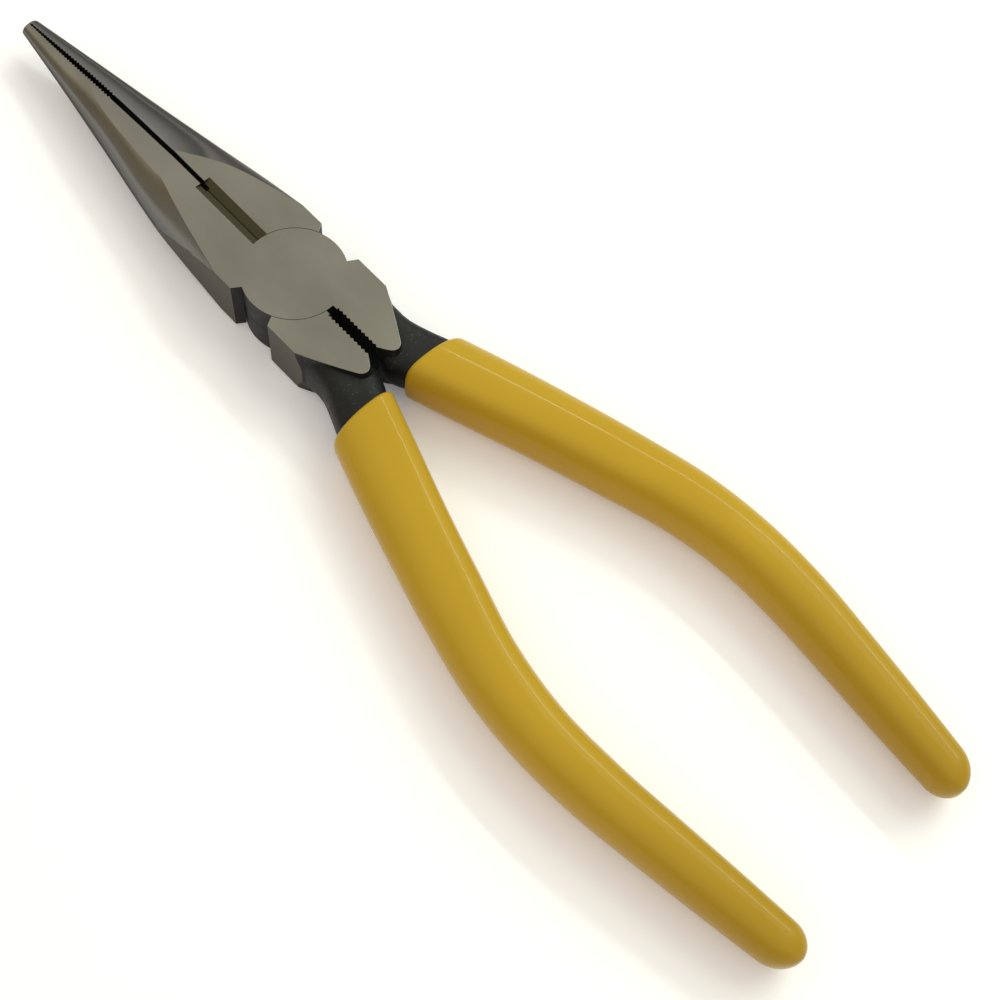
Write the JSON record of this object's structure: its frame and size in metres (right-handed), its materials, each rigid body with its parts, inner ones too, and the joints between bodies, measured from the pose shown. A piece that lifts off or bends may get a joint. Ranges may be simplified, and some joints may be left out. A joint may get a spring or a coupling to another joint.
{
  "type": "needle nose pliers",
  "caption": "Long-nose pliers with lap-jointed steel levers, toothed tapering jaws, a wire cutter and yellow dipped vinyl grips.",
  "frame": {"origin": "on the pivot axis, on the flat back face of the head", "axes": "+Y to the jaw tips, +Z along the pivot axis to the front face, +X to the right seen from the front"},
  "size_m": [0.0562, 0.2093, 0.0116],
  "materials": {
    "steel": "ground faces, black oxide on the shanks",
    "rivet_steel": "ground flush",
    "vinyl": "glossy dipped PVC"
  },
  "bodies": {
    "rear_half": {"rear_lever": "steel", "left_grip": "vinyl", "pivot_rivet": "rivet_steel"},
    "front_half": {"front_lever": "steel", "right_grip": "vinyl"}
  },
  "joints": [
    {"name": "pivot", "type": "hinge", "parent": "rear_half", "child": "front_half", "pos_m": [0, 0, 0.0056], "axis": [0, 0, 1], "range_deg": [0, 42]}
  ]
}
